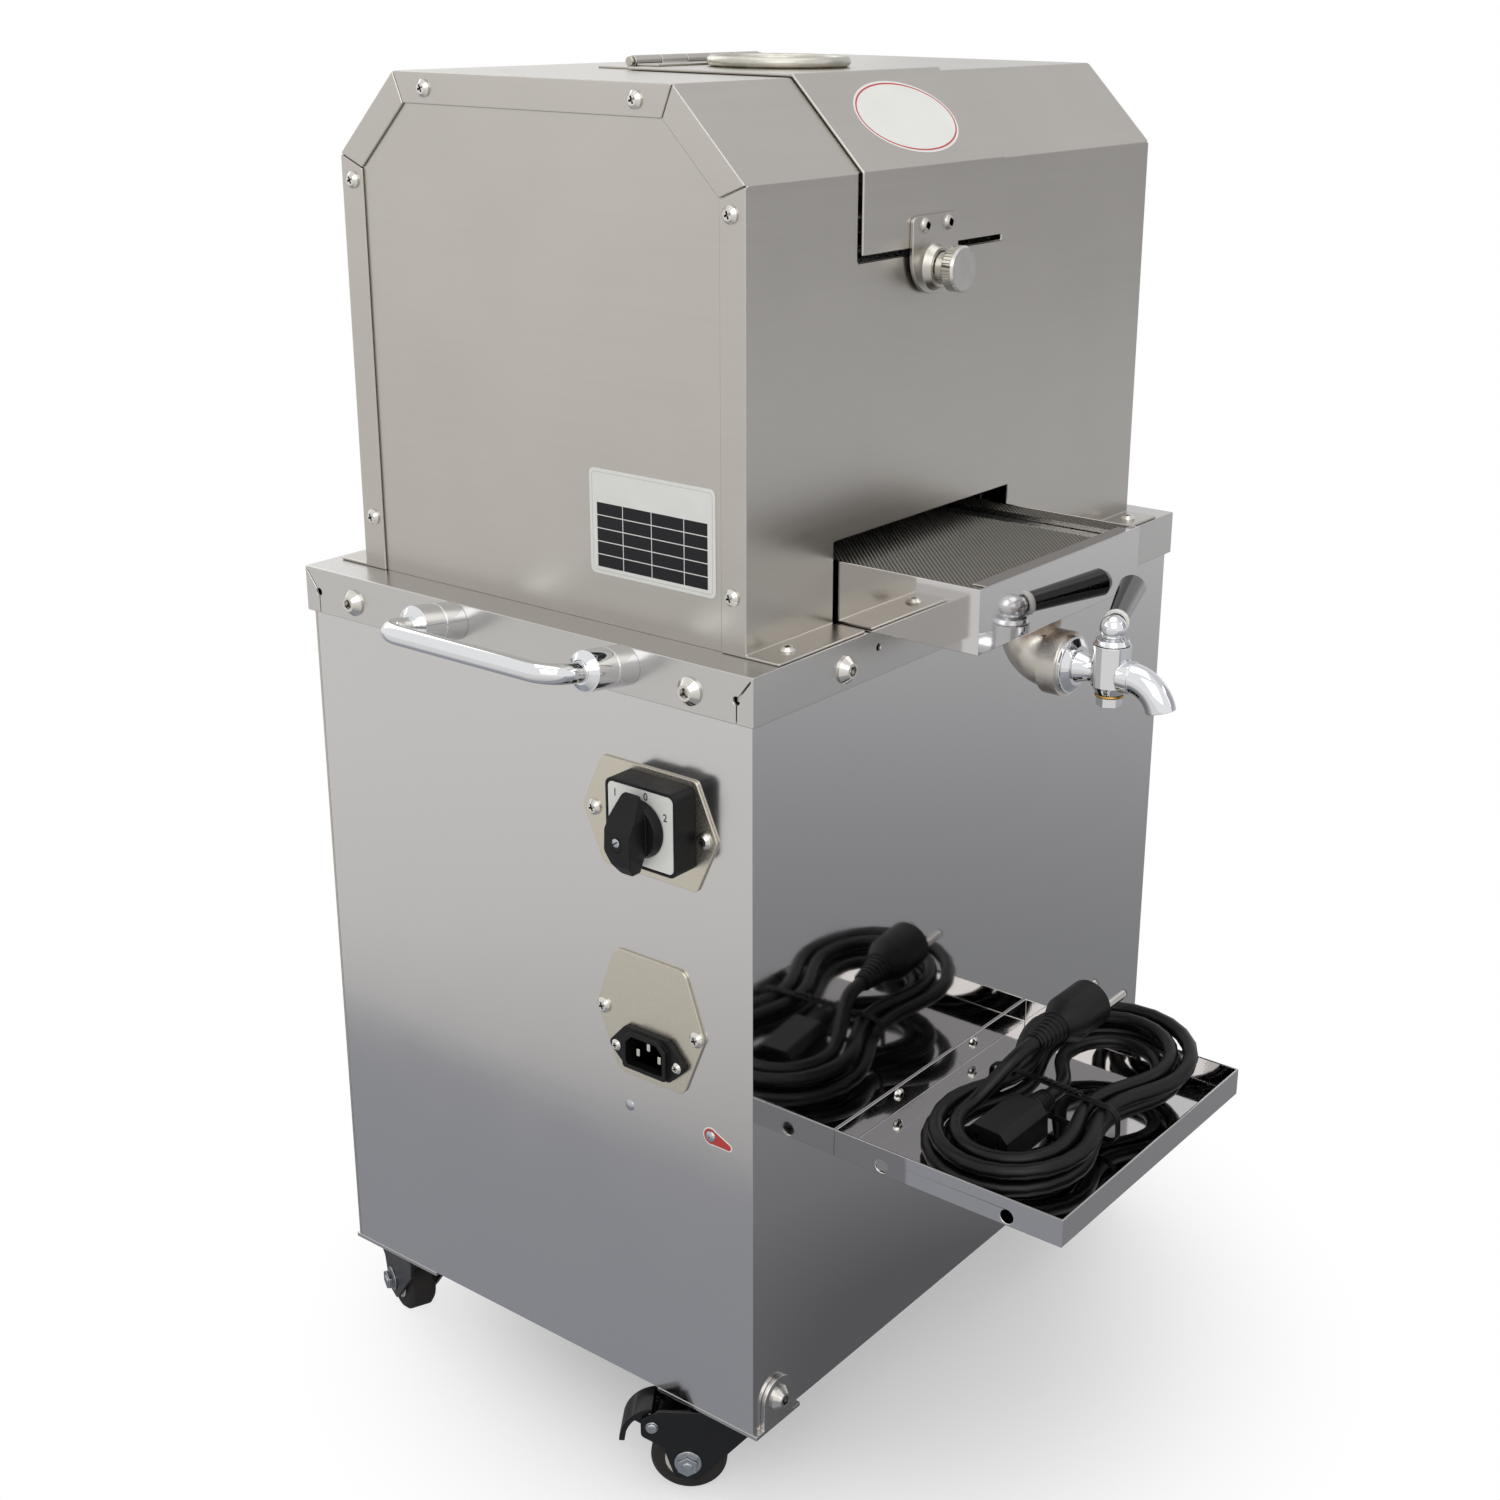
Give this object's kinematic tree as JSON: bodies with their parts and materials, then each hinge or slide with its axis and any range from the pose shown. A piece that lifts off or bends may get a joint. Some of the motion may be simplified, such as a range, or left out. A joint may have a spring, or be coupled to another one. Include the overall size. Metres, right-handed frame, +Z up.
{
  "type": "electric sugarcane juicer",
  "caption": "Electric sugarcane juicer: steel cabinet on braked casters, folded mill housing with a hinged feed lid, roller mill, sliding juice pan with a tap, shelf tray and cord.",
  "frame": {"origin": "on the floor, below the middle of the whole object's box, the cord not counted", "axes": "+Z up; the front with the tap and shelf tray faces -Y; the switch is on the -X side"},
  "size_m": [0.509, 0.4626, 0.7317],
  "materials": {
    "mirror_steel": "mirror-polished stainless sheet",
    "satin_steel": "brushed stainless sheet",
    "champagne_steel": "warm satin stainless plate",
    "screw_steel": "bright stainless fasteners",
    "handle_chrome": "polished stainless bar",
    "tap_chrome": "chrome plate",
    "elbow_steel": "cast stainless",
    "mesh_steel": "stainless screen",
    "mill_steel": "turned stainless",
    "gear_steel": "oiled dark steel",
    "bush_bronze": "turned bronze",
    "motor_paint": "grey-blue enamel",
    "base_zinc": "zinc-plated plate",
    "black_plastic": "moulded black plastic",
    "cord_rubber": "black flexible cord",
    "caster_black": "black enamel on pressed steel",
    "wheel_rubber": "dark rubber"
  },
  "bodies": {
    "cabinet": {"cabinet_shell": "mirror_steel", "back_panel": "satin_steel", "base_plate": "base_zinc", "worktop": "mirror_steel", "button_screws": "screw_steel", "corner_brackets": "champagne_steel", "housing_wrap": "satin_steel", "side_plate_left": "satin_steel", "side_plate_right": "satin_steel", "pan_screws": "screw_steel", "side_handles": "handle_chrome", "switch_plate": "champagne_steel", "switch_body": "black_plastic", "inlet_plate": "champagne_steel", "inlet_socket": "black_plastic", "shelf_tray": "mirror_steel", "cheek_plates": "mill_steel", "roller_bushes": "bush_bronze", "tie_bars": "mill_steel", "bagasse_chute": "satin_steel", "drive_motor": "motor_paint", "gearbox": "motor_paint", "drive_chain": "gear_steel", "hinge_fixed_leaf": "satin_steel", "cord_hank": "cord_rubber", "cord_connector": "black_plastic", "cord_plug": "black_plastic", "cord_tie": "cord_rubber"},
    "lid": {"feed_lid": "satin_steel", "feed_tube": "satin_steel", "hinge_moving_leaf": "satin_steel", "latch_bracket": "satin_steel"},
    "latch": {"latch_screw": "screw_steel"},
    "pan": {"juice_pan": "mirror_steel", "pipe_elbow": "elbow_steel", "tap_body": "tap_chrome"},
    "screen": {"strainer": "mesh_steel"},
    "tap_lever": {"tap_plug": "tap_chrome", "tap_grip": "black_plastic"},
    "knob": {"switch_knob": "black_plastic"},
    "top_roller": {"roller_top": "mill_steel", "gear_top": "gear_steel", "drive_sprocket": "gear_steel"},
    "feed_roller": {"roller_feed": "mill_steel", "gear_feed": "gear_steel"},
    "discharge_roller": {"roller_discharge": "mill_steel", "gear_discharge": "gear_steel"},
    "motor_shaft": {"motor_sprocket": "gear_steel"},
    "caster_fl": {"caster_fork_fl": "caster_black"},
    "wheel_fl": {"caster_wheel_fl": "wheel_rubber"},
    "brake_fl": {"caster_brake_fl": "caster_black"},
    "caster_fr": {"caster_fork_fr": "caster_black"},
    "wheel_fr": {"caster_wheel_fr": "wheel_rubber"},
    "brake_fr": {"caster_brake_fr": "caster_black"},
    "caster_rl": {"caster_fork_rl": "caster_black"},
    "wheel_rl": {"caster_wheel_rl": "wheel_rubber"},
    "brake_rl": {"caster_brake_rl": "caster_black"},
    "caster_rr": {"caster_fork_rr": "caster_black"},
    "wheel_rr": {"caster_wheel_rr": "wheel_rubber"},
    "brake_rr": {"caster_brake_rr": "caster_black"}
  },
  "joints": [
    {"name": "lid_hinge", "type": "hinge", "parent": "cabinet", "child": "lid", "pos_m": [-0.034, 0.07325, 0.7285], "axis": [-1, 0, 0], "range_deg": [0, 100]},
    {"name": "latch_screw_travel", "type": "slide", "parent": "lid", "child": "latch", "axis": [0, 1, 0], "range_m": [0, 0.004]},
    {"name": "pan_slide", "type": "slide", "parent": "cabinet", "child": "pan", "axis": [0, -1, 0], "range_m": [0, 0.2]},
    {"name": "screen_lift", "type": "slide", "parent": "pan", "child": "screen", "axis": [0, 0, 1], "range_m": [0, 0.012]},
    {"name": "tap_lever_turn", "type": "hinge", "parent": "pan", "child": "tap_lever", "pos_m": [-0.034, -0.18775, 0.4634], "axis": [0, 0, 1], "range_deg": [-90, 0]},
    {"name": "switch_knob_turn", "type": "hinge", "parent": "cabinet", "child": "knob", "pos_m": [-0.214, -0.03925, 0.387], "axis": [-1, 0, 0], "range_deg": [-60, 60]},
    {"name": "top_roller_spin", "type": "hinge", "parent": "cabinet", "child": "top_roller", "pos_m": [-0.034, 0.05125, 0.62], "axis": [1, 0, 0], "continuous": true},
    {"name": "feed_roller_spin", "type": "hinge", "parent": "cabinet", "child": "feed_roller", "pos_m": [-0.034, -0.01275, 0.62], "axis": [1, 0, 0], "continuous": true},
    {"name": "discharge_roller_spin", "type": "hinge", "parent": "cabinet", "child": "discharge_roller", "pos_m": [-0.034, 0.0965, 0.57474], "axis": [1, 0, 0], "continuous": true},
    {"name": "motor_shaft_spin", "type": "hinge", "parent": "cabinet", "child": "motor_shaft", "pos_m": [0.098, 0.05125, 0.1628], "axis": [1, 0, 0], "continuous": true},
    {"name": "caster_swivel_fl", "type": "hinge", "parent": "cabinet", "child": "caster_fl", "pos_m": [-0.179, -0.06175, 0.05], "axis": [0, 0, 1], "continuous": true},
    {"name": "wheel_spin_fl", "type": "hinge", "parent": "caster_fl", "child": "wheel_fl", "pos_m": [-0.19047, -0.04537, 0.0205], "axis": [0.8192, 0.5736, 0], "continuous": true},
    {"name": "brake_press_fl", "type": "hinge", "parent": "caster_fl", "child": "brake_fl", "pos_m": [-0.20137, -0.0298, 0.0425], "axis": [-0.8192, -0.5736, 0], "range_deg": [0, 18]},
    {"name": "caster_swivel_fr", "type": "hinge", "parent": "cabinet", "child": "caster_fr", "pos_m": [0.179, -0.06175, 0.05], "axis": [0, 0, 1], "continuous": true},
    {"name": "wheel_spin_fr", "type": "hinge", "parent": "caster_fr", "child": "wheel_fr", "pos_m": [0.179, -0.04175, 0.0205], "axis": [1, 0, 0], "continuous": true},
    {"name": "brake_press_fr", "type": "hinge", "parent": "caster_fr", "child": "brake_fr", "pos_m": [0.179, -0.02275, 0.0425], "axis": [-1, 0, 0], "range_deg": [0, 18]},
    {"name": "caster_swivel_rl", "type": "hinge", "parent": "cabinet", "child": "caster_rl", "pos_m": [-0.179, 0.17425, 0.05], "axis": [0, 0, 1], "continuous": true},
    {"name": "wheel_spin_rl", "type": "hinge", "parent": "caster_rl", "child": "wheel_rl", "pos_m": [-0.17119, 0.19266, 0.0205], "axis": [0.9205, -0.3907, 0], "continuous": true},
    {"name": "brake_press_rl", "type": "hinge", "parent": "caster_rl", "child": "brake_rl", "pos_m": [-0.16376, 0.21015, 0.0425], "axis": [-0.9205, 0.3907, 0], "range_deg": [0, 18]},
    {"name": "caster_swivel_rr", "type": "hinge", "parent": "cabinet", "child": "caster_rr", "pos_m": [0.179, 0.17425, 0.05], "axis": [0, 0, 1], "continuous": true},
    {"name": "wheel_spin_rr", "type": "hinge", "parent": "caster_rr", "child": "wheel_rr", "pos_m": [0.179, 0.19425, 0.0205], "axis": [1, 0, 0], "continuous": true},
    {"name": "brake_press_rr", "type": "hinge", "parent": "caster_rr", "child": "brake_rr", "pos_m": [0.179, 0.21325, 0.0425], "axis": [-1, 0, 0], "range_deg": [0, 18]}
  ],
  "couplings": [
    {"joint": "feed_roller_spin", "follows": "top_roller_spin", "ratio": -1},
    {"joint": "discharge_roller_spin", "follows": "top_roller_spin", "ratio": -1},
    {"joint": "motor_shaft_spin", "follows": "top_roller_spin", "ratio": 1}
  ]
}
